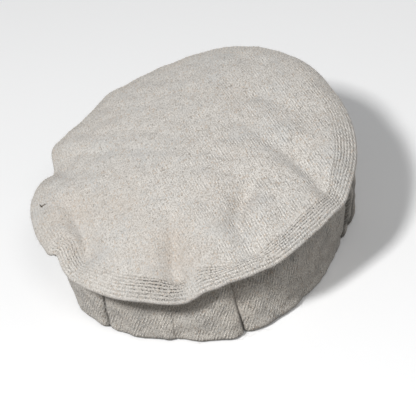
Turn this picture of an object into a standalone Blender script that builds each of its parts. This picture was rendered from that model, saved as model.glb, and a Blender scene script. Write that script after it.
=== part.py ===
"""A pakol: a soft round hat of felted wool, standing on its rolled side.

Metres, +Z up. The wearer faces -Y, so the wearer's right is -X. The crown is a lined disc
whose stitched rim overhangs the side. The side is one length of cloth: it starts at the seam
under the rim, lines the head opening, and is rolled outwards and up into a thick band.
Tables are in millimetres and degrees. An angle runs anticlockwise from +X, seen from above.
"""

import math
from typing import NamedTuple

import bmesh
import bpy
from mathutils import Vector

MM = 0.001
SWEEP_WELD = 0.001

CENTRE_SHIFT = Vector((-0.5, 3.5, 0.0))

CROWN_COLUMNS = 80
CROWN_THICK = 3.2
RIM_THICK = 4.2
RIM_MEAN_HEIGHT = 71.5
TILT_HEIGHT = 20.5
TILT_ANGLE = 262.0
DOME_HEIGHT = 13.0
SHOULDER_HEIGHT = 3.0
SHOULDER_WIDTH = 8.0
RIM_WAVE_WIDTH = 28.0
GROOVE_FROM_EDGE = 15.2
GROOVE_DEPTH = 0.9
GROOVE_WIDTH = 1.0
TOP_RINGS = (2.1, 5.0, 9.0, 13.6, 15.2, 16.8, 21.0, 27.0, 35.0, 45.0, 57.0, 71.0, 86.0, 102.0)
UNDERSIDE_RINGS = (102.0, 78.0, 57.0, 40.0, 27.0, 16.0, 8.0, 2.1)

CLOTH = 2.2
BAND_COLUMNS = 54
COLUMNS_BESIDE_CREASE = (-4.6, -2.2, 0.0, 2.2, 4.6)
CLOSEST_COLUMNS = 1.9
SEAM_GAP = 0.4
SLOPE_ALLOWANCE = 1.2
OPENING_BACK = 100.0
OPENING_SIDE = 86.0
OPENING_POWER = 2.4
LEAN_HEIGHT = 46.0


class RimStation(NamedTuple):
    """The crown's edge at one angle: distance from the axis and height of its middle."""

    angle: float
    radius: float
    height: float


class BandStation(NamedTuple):
    """The rolled side at one angle: radius of its foot, how far it leans out, room over it."""

    angle: float
    foot: float
    lean: float
    slack: float


class Crease(NamedTuple):
    """An upright pleat in the rolled side. A lap lifts the cloth just before the valley."""

    foot_angle: float
    top_angle: float
    depth: float
    spread: float
    lap: float


class Fold(NamedTuple):
    """A ridge (lift above 0) or a valley in the crown, from its inner to its outer end."""

    x_in: float
    y_in: float
    x_out: float
    y_out: float
    lift: float
    spread: float


RIM = (
    RimStation(0, 121.5, 61.0),
    RimStation(10, 126.0, 63.5),
    RimStation(20, 130.0, 63.5),
    RimStation(30, 130.0, 62.0),
    RimStation(39, 129.5, 60.0),
    RimStation(46, 128.5, 60.0),
    RimStation(51, 124.0, 61.5),
    RimStation(60, 127.5, 58.5),
    RimStation(75, 128.0, 54.0),
    RimStation(90, 124.0, 52.0),
    RimStation(100, 123.5, 49.0),
    RimStation(110, 122.5, 55.5),
    RimStation(120, 122.5, 62.5),
    RimStation(135, 126.0, 65.5),
    RimStation(150, 127.0, 70.5),
    RimStation(165, 129.5, 75.0),
    RimStation(180, 126.5, 78.0),
    RimStation(195, 124.0, 81.5),
    RimStation(210, 122.5, 84.5),
    RimStation(225, 123.0, 87.0),
    RimStation(240, 126.5, 89.5),
    RimStation(255, 130.0, 90.5),
    RimStation(270, 131.5, 90.5),
    RimStation(285, 129.0, 87.5),
    RimStation(300, 126.0, 82.5),
    RimStation(315, 126.5, 78.5),
    RimStation(326, 122.5, 74.0),
    RimStation(338, 123.5, 71.0),
    RimStation(345, 126.5, 68.5),
    RimStation(352, 129.0, 66.5),
)

BAND = (
    BandStation(0, 105.0, 5.0, 6.0),
    BandStation(20, 109.0, 5.0, 4.0),
    BandStation(35, 115.0, 3.0, 2.0),
    BandStation(47, 119.5, 0.5, 0.5),
    BandStation(60, 119.5, 0.0, 0.0),
    BandStation(77, 120.5, 0.0, 0.0),
    BandStation(94, 117.5, 0.0, 0.0),
    BandStation(111, 119.5, 0.0, 0.0),
    BandStation(126, 120.0, 0.0, 0.0),
    BandStation(143, 114.5, 1.5, 2.0),
    BandStation(157, 109.0, 4.5, 5.0),
    BandStation(170, 106.0, 6.5, 8.0),
    BandStation(184, 107.5, 7.5, 10.0),
    BandStation(198, 113.0, 4.5, 11.0),
    BandStation(215, 115.0, 4.0, 12.0),
    BandStation(240, 117.0, 3.0, 14.0),
    BandStation(270, 119.0, 3.0, 15.0),
    BandStation(300, 115.5, 3.0, 13.0),
    BandStation(330, 107.5, 4.0, 9.0),
)

CREASES = (
    Crease(65.6, 66.8, 6.5, 2.8, 0.6),
    Crease(94.0, 95.0, 2.2, 3.0, 0.0),
    Crease(120.2, 119.2, 6.0, 3.4, 1.6),
    Crease(188.0, 186.5, 5.0, 2.0, 0.5),
    Crease(194.5, 194.5, 4.5, 2.0, 0.8),
    Crease(237.0, 239.0, 5.0, 3.2, 0.8),
    Crease(286.0, 284.0, 5.5, 3.0, 0.8),
    Crease(328.0, 330.0, 4.0, 3.0, 0.4),
    Crease(24.0, 25.0, 4.5, 3.0, 0.6),
)

FOLDS = (
    Fold(-62, -18, -109, 28, -3.2, 8),
    Fold(-72, -20, -112, -2, 2.0, 10),
    Fold(-40, 45, -67, 82, -3.0, 8),
    Fold(-66, 30, -88, 62, 2.2, 11),
    Fold(6, 60, -13, 98, -2.6, 8),
    Fold(-17, 68, -23, 116, 3.0, 8),
    Fold(64, 58, 61, 100, -3.0, 8),
    Fold(78, 32, 117, 4, -3.8, 9),
)


def around(stations, column, angle):
    """One column of a table that runs once round the hat, at any angle."""
    count = len(stations)
    angle %= 360.0
    before = max(i for i in range(count) if stations[i].angle <= angle)
    near = []
    for step in (-1, 0, 1, 2):
        turns, index = divmod(before + step, count)
        station = stations[index]
        near.append((station.angle + 360.0 * turns, getattr(station, column)))
    (a0, v0), (a1, v1), (a2, v2), (a3, v3) = near
    span = a2 - a1
    slope1 = (v2 - v0) / (a2 - a0) * span
    slope2 = (v3 - v1) / (a3 - a1) * span
    t = (angle - a1) / span
    return (
        (2 * t**3 - 3 * t**2 + 1) * v1
        + (t**3 - 2 * t**2 + t) * slope1
        + (3 * t**2 - 2 * t**3) * v2
        + (t**3 - t**2) * slope2
    )


def smooth(low, high, value):
    """0 below low, 1 above high, and an even S between them."""
    t = min(max((value - low) / (high - low), 0.0), 1.0)
    return t * t * (3 - 2 * t)


def fold_lift(x, y):
    """How far the crown's folds raise it at a place."""
    total = 0.0
    for fold in FOLDS:
        run_x, run_y = fold.x_out - fold.x_in, fold.y_out - fold.y_in
        length = math.hypot(run_x, run_y)
        along = ((x - fold.x_in) * run_x + (y - fold.y_in) * run_y) / length
        aside = ((y - fold.y_in) * run_x - (x - fold.x_in) * run_y) / length
        ends = smooth(-0.35 * length, 0.3 * length, along)
        ends *= 1 - smooth(length, length + 16, along)
        total += fold.lift * ends * math.exp(-((aside / fold.spread) ** 2))
    return total


def crown_height(x, y):
    """Height of the crown's middle layer at a place, folds included."""
    angle = math.degrees(math.atan2(y, x)) % 360.0
    radius = math.hypot(x, y)
    edge = around(RIM, "radius", angle)
    inside = max(edge - radius, 0.0)
    share = radius / edge
    tilt = TILT_HEIGHT * math.cos(math.radians(angle - TILT_ANGLE))
    wave = around(RIM, "height", angle) - RIM_MEAN_HEIGHT - tilt
    return (
        RIM_MEAN_HEIGHT
        + tilt * share**1.3
        + wave * math.exp(-inside / RIM_WAVE_WIDTH)
        + DOME_HEIGHT * (1 - share**2.4)
        + SHOULDER_HEIGHT * (1 - math.exp(-inside / SHOULDER_WIDTH))
        + fold_lift(x, y)
    )


def crown_place(angle, inside):
    """The middle layer's point at a distance in from the edge, and its normal."""
    radius = around(RIM, "radius", angle) - inside
    x = radius * math.cos(math.radians(angle))
    y = radius * math.sin(math.radians(angle))
    step = 0.5
    slope_x = (crown_height(x + step, y) - crown_height(x - step, y)) / (2 * step)
    slope_y = (crown_height(x, y + step) - crown_height(x, y - step)) / (2 * step)
    return Vector((x, y, crown_height(x, y))), Vector((-slope_x, -slope_y, 1.0)).normalized()


def crown_thickness(inside):
    """The crown is thicker at its stitched rim, where more layers meet."""
    return CROWN_THICK + (RIM_THICK - CROWN_THICK) * (1 - smooth(13.0, 19.0, inside))


def crown_column(angle):
    """The crown's section at one angle, from near its centre over the edge to the underside."""
    points = []
    for inside in reversed(TOP_RINGS):
        place, normal = crown_place(angle, inside)
        groove = GROOVE_DEPTH * math.exp(-(((inside - GROOVE_FROM_EDGE) / GROOVE_WIDTH) ** 2))
        points.append(place + normal * (crown_thickness(inside) / 2 - groove))
    place, normal = crown_place(angle, TOP_RINGS[0])
    side = Vector((-math.sin(math.radians(angle)), math.cos(math.radians(angle)), 0.0))
    outward = side.cross(normal).normalized()
    for turn in (45, 90, 135):
        lean = math.radians(turn)
        points.append(place + (normal * math.cos(lean) + outward * math.sin(lean)) * RIM_THICK / 2)
    for inside in reversed(UNDERSIDE_RINGS):
        place, normal = crown_place(angle, inside)
        points.append(place - normal * crown_thickness(inside) / 2)
    return points


def opening_radius(angle):
    """The head opening's wall: an oval, longest from back to front."""
    side = abs(math.cos(math.radians(angle))) / OPENING_SIDE
    back = abs(math.sin(math.radians(angle))) / OPENING_BACK
    return (side**OPENING_POWER + back**OPENING_POWER) ** (-1 / OPENING_POWER)


def crease_depth(angle, rise):
    """How far the creases press the rolled side in, at a share of its height."""
    total = 0.0
    for crease in CREASES:
        centre = crease.foot_angle + (crease.top_angle - crease.foot_angle) * rise
        away = (angle - centre + 180.0) % 360.0 - 180.0
        valley = math.exp(-(math.hypot(away, 0.5) - 0.5) / crease.spread)
        lap = math.exp(-(((away + 1.6 * crease.spread) / (0.9 * crease.spread)) ** 2))
        total += crease.depth * valley * (0.4 + 0.7 * rise) - crease.lap * lap
    return total


def crown_over(angle, radius):
    """The lowest that the crown's middle layer comes near one angle, at a radius."""
    heights = []
    for offset in (-4.0, -2.0, 0.0, 2.0, 4.0):
        turned = math.radians(angle + offset)
        heights.append(crown_height(radius * math.cos(turned), radius * math.sin(turned)))
    return min(heights)


def side_path(angle):
    """The middle of the side's cloth at one angle, as (radius, height), from seam to hem."""
    foot, lean, slack = (around(BAND, name, angle) for name in ("foot", "lean", "slack"))
    inner = opening_radius(angle)
    outer = foot + lean
    thick = outer - inner
    edge = around(RIM, "radius", angle)
    half = CLOTH / 2
    under = (RIM_THICK / 2 + SEAM_GAP + half) * SLOPE_ALLOWANCE
    top = crown_over(angle, min(edge - 10.0, outer - 6.0)) - under - half - 0.6 - slack
    over_roll = min(inner + 0.7 * thick, edge - 13.5)

    def face(height):
        return foot + lean * smooth(0.0, LEAN_HEIGHT, height) - half

    def turn(share, height):
        return inner + half + share * (face(height) - inner - half)

    flap = [
        (edge - 5.5, crown_over(angle, edge - 5.5) - under),
        (edge - 10.0, crown_over(angle, edge - 10.0) - under - 0.12 * slack),
        (over_roll, min(top + 1.9 + 0.12 * slack, crown_over(angle, over_roll) - under)),
        (min(inner + 0.32 * thick, 0.5 * (inner + 3.4 + over_roll)), top + 1.7),
        (inner + 3.4, top - 0.1),
    ]
    lining = [
        (inner + half, top - 5.0),
        (inner + half, 0.45 * top),
        (inner + half + 0.2, 7.0),
        (inner + 4.8, half),
    ]
    rolled = [
        (foot - 7.0, half),
        (foot - 2.4, 4.2),
        (face(11.0), 11.0),
        (face(0.4 * top) + 1.3, 0.4 * top),
        (face(0.7 * top) + 0.9, 0.7 * top),
        (face(top) - 0.8, top - 7.5),
        (face(top) - 3.3, top - 3.0),
        (face(top) - 6.6, top - half - 0.2),
        (outer - 9.2, top - 5.5),
        (turn(0.66, 0.5 * top), 0.5 * top),
        (turn(0.66, 12.0), 12.0),
        (turn(0.5, 7.2), 7.2),
        (turn(0.34, 12.0), 12.0),
        (turn(0.33, 0.5 * top), 0.5 * top),
        (turn(0.28, top), top - 4.5 - 100.0 / thick),
    ]
    pressed = []
    for radius, height in rolled:
        rise = min(max(height / top, 0.0), 1.0)
        press = 1 - crease_depth(angle, rise) / thick
        pressed.append((inner + (radius - inner) * press, height))
    return flap + lining + pressed


def cloth_outline(path):
    """A closed outline half the cloth's thickness to each side of a path."""
    left, right = [], []
    for index, (radius, height) in enumerate(path):
        before = path[max(index - 1, 0)]
        after = path[min(index + 1, len(path) - 1)]
        arrive = Vector((radius - before[0], height - before[1]))
        leave = Vector((after[0] - radius, after[1] - height))
        arrive = arrive.normalized() if arrive.length else leave.normalized()
        leave = leave.normalized() if leave.length else arrive
        along = (arrive + leave).normalized()
        reach = CLOTH / 2 / max(along.dot(arrive), 0.75)
        across = Vector((-along.y, along.x)) * reach
        left.append((radius + across.x, height + across.y))
        right.append((radius - across.x, height - across.y))
    return left + right[::-1]


def side_angles():
    """The angles of the side's columns, closer together at each crease."""
    wanted = []
    for crease in CREASES:
        middle = (crease.foot_angle + crease.top_angle) / 2
        wanted += [(middle + offset) % 360.0 for offset in COLUMNS_BESIDE_CREASE]
    angles = []
    for angle in wanted + [360.0 * index / BAND_COLUMNS for index in range(BAND_COLUMNS)]:
        gaps = [abs((angle - other + 180.0) % 360.0 - 180.0) for other in angles]
        if not gaps or min(gaps) > CLOSEST_COLUMNS:
            angles.append(angle)
    return sorted(angles)


def build(name, mesh_builder, colour):
    """A smooth-shaded object with its own material, from a function that fills a bmesh."""
    shape = bmesh.new()
    mesh_builder(shape)
    bmesh.ops.translate(shape, vec=CENTRE_SHIFT, verts=shape.verts)
    bmesh.ops.scale(shape, vec=Vector((MM, MM, MM)), verts=shape.verts)
    bmesh.ops.recalc_face_normals(shape, faces=shape.faces)
    for face in shape.faces:
        face.smooth = True
    mesh = bpy.data.meshes.new(name)
    shape.to_mesh(mesh)
    shape.free()
    cloth = bpy.data.materials.new(name + "_wool")
    cloth.use_nodes = True
    shader = cloth.node_tree.nodes["Principled BSDF"]
    shader.inputs["Base Color"].default_value = (*colour, 1.0)
    shader.inputs["Roughness"].default_value = 0.95
    mesh.materials.append(cloth)
    part = bpy.data.objects.new(name, mesh)
    bpy.context.collection.objects.link(part)
    return part


def sweep(shape, columns, closed):
    """Extrudes a section's edges from column to column round the hat, back onto the first."""
    row = shape.verts.layers.int.new("row")
    start = [shape.verts.new(point) for point in columns[0]]
    for index, vert in enumerate(start):
        vert[row] = index
    ends = start[1:] + start[:1] if closed else start[1:]
    leading = [shape.edges.new(pair) for pair in zip(start, ends)]
    for column in columns[1:] + columns[:1]:
        grown = bmesh.ops.extrude_edge_only(shape, edges=leading)["geom"]
        moved = {item for item in grown if isinstance(item, bmesh.types.BMVert)}
        edges = [item for item in grown if isinstance(item, bmesh.types.BMEdge)]
        leading = [edge for edge in edges if moved.issuperset(edge.verts)]
        for vert in moved:
            vert.co = column[vert[row]]
    bmesh.ops.remove_doubles(shape, verts=shape.verts, dist=SWEEP_WELD)


def crown_mesh(shape):
    """The crown: its section swept round, then closed at the middle above and below."""
    sweep(shape, [crown_column(360.0 * i / CROWN_COLUMNS) for i in range(CROWN_COLUMNS)], False)
    rings = [edge for edge in shape.edges if edge.is_boundary]
    caps = bmesh.ops.holes_fill(shape, edges=rings, sides=0)["faces"]
    middles = bmesh.ops.poke(shape, faces=caps)["verts"]
    middles.sort(key=lambda vert: vert.co.z)
    height = crown_height(0.0, 0.0)
    for vert, side in zip(middles, (-1, 1)):
        vert.co = (0.0, 0.0, height + side * CROWN_THICK / 2)


def side_mesh(shape):
    """The rolled side: the outline of its cloth swept round the head opening."""
    columns = []
    for angle in side_angles():
        across = math.cos(math.radians(angle))
        along = math.sin(math.radians(angle))
        outline = cloth_outline(side_path(angle))
        columns.append([Vector((out * across, out * along, height)) for out, height in outline])
    sweep(shape, columns, True)


def main():
    for leftover in list(bpy.data.objects):
        bpy.data.objects.remove(leftover)
    build("crown", crown_mesh, (0.62, 0.58, 0.52))
    build("rolled_side", side_mesh, (0.58, 0.54, 0.48))


if __name__ == "__main__":
    main()
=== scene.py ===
"""A pakol in heathered wool, standing on its rolled side.

Two cloth pieces take the place of the part's plain solids: the domed crown with its stitched
rim, and the side that is rolled up into a thick band. Stitches, short felt fibres, a few long
hairs and a small burr lie on them. Tables are in millimetres and degrees. An angle runs
anticlockwise from +X, seen from above, and the wearer faces -Y.
"""

import logging
import math
from dataclasses import dataclass, field
from enum import Enum

import bmesh
import bpy
import numpy as np
from mathutils import Matrix, Vector


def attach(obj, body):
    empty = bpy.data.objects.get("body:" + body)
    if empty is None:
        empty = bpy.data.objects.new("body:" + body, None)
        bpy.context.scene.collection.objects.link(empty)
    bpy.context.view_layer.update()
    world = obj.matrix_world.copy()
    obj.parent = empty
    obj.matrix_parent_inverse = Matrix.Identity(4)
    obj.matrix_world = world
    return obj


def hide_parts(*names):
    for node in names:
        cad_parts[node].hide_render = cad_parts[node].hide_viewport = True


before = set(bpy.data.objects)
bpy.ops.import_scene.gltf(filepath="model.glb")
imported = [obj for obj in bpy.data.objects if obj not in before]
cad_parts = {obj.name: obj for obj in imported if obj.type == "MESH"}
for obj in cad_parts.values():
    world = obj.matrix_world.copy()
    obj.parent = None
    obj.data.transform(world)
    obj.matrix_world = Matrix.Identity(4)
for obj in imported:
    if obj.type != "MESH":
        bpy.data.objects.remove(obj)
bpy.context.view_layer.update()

MM = 0.001
CENTRE_SHIFT = np.array((-0.5, 3.5, 0.0))

# The Wave texture's bands lie this far apart, in metres, at a scale of 1.
WAVE_BAND = 0.1 * math.pi

log = logging.getLogger("pakol")


@dataclass(frozen=True)
class RimStation:
    """The crown's edge at one angle: distance from the axis and height of its middle."""

    angle: float
    radius: float
    height: float


@dataclass(frozen=True)
class StitchStation:
    """How deep the rim's stitching is drawn in at one angle, and how much painted shade darkens the
    wool round it.
    """

    angle: float
    strength: float
    dark: float = 0.0


@dataclass(frozen=True)
class DroopStation:
    """How far the lip of the rim turns down at one angle, and over what width."""

    angle: float
    drop: float
    width: float


@dataclass(frozen=True)
class BandStation:
    """The rolled side at one angle.

    The foot is its radius at the floor. The face leans out by the lean, and is drawn in again
    towards its top by the recess. The slack is the room between its top and the crown. The
    flare is how far the hem spreads out at the floor, and the wave is how strongly the face
    rises and falls.
    """

    angle: float
    foot: float
    lean: float
    slack: float
    recess: float
    flare: float
    wave: float


@dataclass(frozen=True)
class Crease:
    """An upright pleat in the rolled side.

    A lap lifts the cloth just before the valley, a cut is a sharp line along its bottom, and a
    step leaves the cloth before the valley standing over the cloth after it. The shade is
    painted shade that darkens the wool in it, over a width in degrees. The last two say how
    strong it is at the foot and at the top.
    """

    foot_angle: float
    top_angle: float
    depth: float
    spread: float
    lap: float
    cut: float
    step: float
    shade: float = 0.5
    width: float = 0.4
    at_foot: float = 0.4
    at_top: float = 1.1

    def near(self, angle: np.ndarray, rise: np.ndarray) -> tuple[np.ndarray, np.ndarray]:
        """How far each angle lies from the crease, and the crease's strength, at each rise."""
        centre = self.foot_angle + (self.top_angle - self.foot_angle) * rise
        away = (angle - centre + 180.0) % 360.0 - 180.0
        return away, self.at_foot + (self.at_top - self.at_foot) * rise


@dataclass(frozen=True)
class Fold:
    """A ridge (lift above 0) or a valley in the crown, along a bent line.

    Each of the line's places is (x, y, strength), and the strength multiplies the lift there.
    Left and right say how far the fold reaches on each side of the line.
    """

    places: tuple
    lift: float
    left: float
    right: float


def rows(kind: type, *values: tuple) -> tuple:
    """A table's rows, each made of one tuple of values."""
    return tuple(kind(*row) for row in values)


RIM = rows(
    RimStation,
    (0, 121.5, 61.0), (10, 126.0, 63.5), (20, 130.0, 63.5), (30, 130.0, 62.0), (39, 129.5, 60.0),
    (43.5, 128.9, 60.2), (46.6, 128.9, 60.0), (49.1, 124.9, 61.6), (56, 128.5, 57.5),
    (62, 128.8, 54.8), (76, 128.2, 52.2), (90, 125.0, 49.9), (98, 124.2, 47.9),
    (103, 123.6, 48.6), (108, 123.6, 52.4), (114, 123.8, 57.4), (122, 124.2, 61.2),
    (135, 127.2, 64.0), (150, 127.0, 70.0), (165, 129.5, 75.0), (180, 126.5, 78.0),
    (195, 124.0, 82.5), (210, 122.5, 86.5), (225, 123.0, 89.0), (240, 126.5, 91.3),
    (255, 130.0, 91.6), (270, 131.5, 90.5), (285, 129.0, 87.5), (300, 126.0, 82.5),
    (315, 125.4, 78.5), (322.5, 127.4, 76.0), (327, 125.6, 74.3), (331, 123.5, 72.9),
    (338, 123.5, 71.0), (345, 126.5, 68.5), (352, 129.0, 66.5),
)

# The third number is painted shade that darkens the wool round the stitching.
STITCHING = rows(
    StitchStation,
    (0, 0.12), (20, 0.12), (36, 0.25), (43, 0.5), (48, 1.05), (57, 1.1), (64, 0.4), (78, 0.6),
    (87, 1.35, 0.14), (98, 1.55, 0.26), (102, 1.3, 0.22), (104.5, 0.1, 0.04), (107, 0.1),
    (109.5, 1.25), (130, 1.4), (165, 1.45), (200, 1.1), (222, 0.45), (270, 0.25), (330, 0.15),
)

DROOP = rows(
    DroopStation,
    (0, 1.0, 3.2), (35, 2.2, 3.2), (60, 2.6, 3.2), (92, 2.4, 3.2), (101, 2.7, 3.2),
    (110, 2.6, 3.2), (150, 3.0, 4.0), (170, 3.4, 5.0), (190, 5.0, 7.5), (215, 5.6, 8.5),
    (240, 3.6, 7.0), (270, 2.5, 6.0), (300, 1.6, 5.0), (330, 1.0, 4.0),
)

BAND = rows(
    BandStation,
    (0, 105.0, 7.0, 6.0, 6.0, 0.5, 2.6), (20, 109.0, 6.0, 4.0, 5.0, 0.5, 1.8),
    (35, 114.5, 3.5, 2.0, 5.0, 0.5, 1.0), (47, 118.5, 0.5, 0.5, 4.8, 0.5, 1.0),
    (60, 118.7, 0.0, 0.0, 4.4, 0.5, 1.0), (77, 116.5, 0.0, 0.0, 5.0, 1.0, 1.0),
    (94, 113.8, 0.0, 0.0, 7.4, 1.0, 1.0), (104, 116.0, 0.0, 0.0, 5.2, 1.0, 1.0),
    (113, 118.2, 0.0, 0.0, 7.0, 1.2, 1.0), (122, 118.0, 0.0, 0.0, 10.0, 1.2, 1.0),
    (132, 115.0, 0.6, 0.6, 6.2, 1.0, 1.0), (143, 111.3, 2.6, 2.0, 1.8, 0.6, 1.0),
    (150, 109.0, 4.8, 3.4, 2.2, 1.6, 1.0), (157, 108.0, 7.0, 5.0, 3.0, 3.6, 1.0),
    (170, 104.0, 10.5, 8.0, 2.0, 1.2, 1.0), (184, 105.0, 12.0, 10.0, 1.0, 0.0, 1.0),
    (198, 110.5, 7.5, 11.0, 3.0, 0.0, 1.6), (215, 115.0, 6.0, 12.0, 7.0, 0.5, 2.6),
    (240, 117.0, 6.0, 14.0, 8.0, 0.5, 3.0), (270, 119.0, 6.0, 15.0, 8.0, 0.5, 3.0),
    (300, 115.5, 6.5, 13.0, 8.0, 0.5, 3.0), (330, 107.5, 7.5, 9.0, 7.0, 0.5, 3.0),
)

# The shade and width columns paint shade into each crease's valley.
CREASES = rows(
    Crease,
    (65.6, 66.8, 2.8, 2.0, 0.8, 4.0, -0.8, 1.0, 0.86, 0.8, 1.1),
    (94.0, 95.0, 0.6, 1.4, 0.2, 0.8, 0.3, 0.4, 0.26, 0.8, 0.5),
    (120.2, 119.2, 3.2, 2.8, 1.6, 2.4, 2.6, 0.85, 0.44, 1.1, 0.15),
    (185.8, 183.2, 6.0, 1.6, 0.0, 0.0, -8.0, 0.92, 1.35, 0.8, 1.0),
    (193.4, 191.6, 5.4, 1.8, 0.0, 0.0, -7.0, 0.9, 1.6, 0.9, 1.0),
    (237.0, 239.0, 4.5, 3.2, 0.8, 2.2, 1.8), (286.0, 284.0, 4.5, 3.0, 0.8, 3.0, 0.4),
    (328.0, 330.0, 3.4, 3.0, 0.4, 1.8, 1.4), (24.0, 25.0, 3.8, 3.0, 0.6, 2.2, 0.0),
)

FOLDS = (
    Fold(
        (
            (-38, -31, 0), (-46, -25, 0.25), (-56, -18, 0.45), (-77, -6, 0.85), (-98, 12, 1),
            (-112, 25, 0.9), (-124, 33, 0.3),
        ),
        lift=-5.9, left=11, right=7.4,
    ),
    Fold(((-60, -34, 0), (-76, -26, 1), (-98, -4, 1), (-112, 8, 0)), lift=0.8, left=9, right=8),
    Fold(
        (
            (-57, 4, 0), (-54, 14, 0.5), (-52, 24, 0.95), (-51, 33, 1.2), (-50, 42, 1.3),
            (-50, 50, 1.25), (-51, 58, 1), (-54, 65, 0.75), (-59, 71, 0.65), (-66, 77, 0.55),
            (-76, 83, 0.25), (-84, 89, 0),
        ),
        lift=-7.4, left=10.5, right=8.5,
    ),
    Fold(((-60, 38, 0), (-62, 50, 1), (-65, 61, 0)), lift=2.6, left=8, right=7),
    Fold(((-82, 32, 0), (-84, 44, 1), (-86, 58, 0.8), (-80, 74, 0)), lift=-2.6, left=9, right=7),
    Fold(
        (
            (2, 52, 0), (-5, 70, 0.65), (-9, 80, 1), (-11, 88, 1), (-13, 96, 0.95),
            (-17, 103, 0.75), (-22, 110, 0.4), (-27, 117, 0.15), (-30, 125, 0),
        ),
        lift=-8.0, left=7, right=9,
    ),
    Fold(
        ((-27, 74, 0), (-32, 86, 0.7), (-38, 100, 1), (-42, 113, 0.8), (-43, 125, 0.3)),
        lift=1.9, left=7, right=4.5,
    ),
    Fold(((-40, 105, 0), (-54, 94, 1), (-66, 85, 1), (-82, 74, 0)), lift=-4.2, left=7, right=6.5),
    Fold(
        ((9, 104, 0), (-2, 104, 0.7), (-12, 103, 1), (-21, 102, 0.9), (-29, 100, 0)),
        lift=-3.4, left=8, right=7,
    ),
    Fold(
        (
            (97, 38, 0), (89, 48, 0.35), (80, 57, 0.6), (72, 67, 0.75), (65, 76, 0.95),
            (60, 84, 1.1), (58, 92, 1.15), (60, 101, 0.85), (65, 112, 0.2),
        ),
        lift=-7.8, left=11, right=7.5,
    ),
    Fold(((102, 38, 0), (98, 57, 1), (88, 75, 1), (80, 90, 0)), lift=2.0, left=9, right=9),
    Fold(((78, 32, 0), (92, 20, 0.6), (106, 11, 1), (122, 2, 1)), lift=-3.8, left=9, right=9),
    Fold(
        ((-8, -58, 0), (-30, -64, 0.8), (-52, -60, 1), (-72, -46, 0.7), (-88, -32, 0)),
        lift=-2.2, left=10, right=8,
    ),
)


def smooth(low: float, high: float, value: np.ndarray) -> np.ndarray:
    """0 below low, 1 above high, and an even S between them."""
    t = np.clip((value - low) / (high - low), 0.0, 1.0)
    return t * t * (3 - 2 * t)


def unit(vectors: np.ndarray, spare: float = 0.0) -> np.ndarray:
    """Vectors brought to length 1. A spare above 0 lets some of them have no length."""
    return vectors / (np.linalg.norm(vectors, axis=-1, keepdims=True) + spare)


def round_places(radius: np.ndarray, angle: np.ndarray, height: np.ndarray) -> np.ndarray:
    """Places round the hat, from their distance from its axis, angle and height."""
    turn = np.radians(angle)
    return np.stack((radius * np.cos(turn), radius * np.sin(turn), height), -1)


class RoundTable:
    """One column of a table that runs once round the hat, as a smooth function of the angle."""

    def __init__(self, stations: tuple, column: str) -> None:
        """Samples the column on a curve through its stations.

        Args:
            stations: The table's rows, in order of angle.
            column: The name of the field to sample.
        """
        angles = np.array([station.angle for station in stations], float)
        values = np.array([getattr(station, column) for station in stations], float)
        angles = np.concatenate((angles[-2:] - 360.0, angles, angles[:3] + 360.0))
        values = np.concatenate((values[-2:], values, values[:3]))
        slopes = (values[2:] - values[:-2]) / (angles[2:] - angles[:-2])
        self.fine = np.arange(0.0, 360.0, 0.25)
        at = np.searchsorted(angles, self.fine, side="right") - 1
        span = angles[at + 1] - angles[at]
        t = (self.fine - angles[at]) / span
        self.samples = (
            (2 * t**3 - 3 * t**2 + 1) * values[at]
            + (t**3 - 2 * t**2 + t) * slopes[at - 1] * span
            + (3 * t**2 - 2 * t**3) * values[at + 1]
            + (t**3 - t**2) * slopes[at] * span
        )

    def at(self, angle: np.ndarray) -> np.ndarray:
        """The column's value at each angle."""
        return np.interp(angle, self.fine, self.samples, period=360.0)


def curves(stations: tuple, *columns: str) -> list[RoundTable]:
    """Some of a table's columns, each as a function of the angle."""
    return [RoundTable(stations, column) for column in columns]


@dataclass
class Unevenness:
    """The gentle, irregular rise and fall of soft cloth, as a sum of random waves."""

    seed: int
    height: float
    shortest: float
    longest: float
    waves: int = 28
    parts: list = field(default_factory=list)

    def __post_init__(self) -> None:
        """Draws the waves' directions, lengths and starts."""
        rng = np.random.default_rng(self.seed)
        for _ in range(self.waves):
            length = self.shortest * (self.longest / self.shortest) ** rng.random()
            turn = rng.random() * 2 * math.pi
            pull = 2 * math.pi / length
            self.parts.append(
                (pull * math.cos(turn), pull * math.sin(turn), rng.random() * 2 * math.pi)
            )

    def at(self, x: np.ndarray, y: np.ndarray) -> np.ndarray:
        """The lift at each place, in millimetres."""
        total = sum(np.sin(kx * x + ky * y + start) for kx, ky, start in self.parts)
        return self.height * total / math.sqrt(len(self.parts) / 2)


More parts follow.
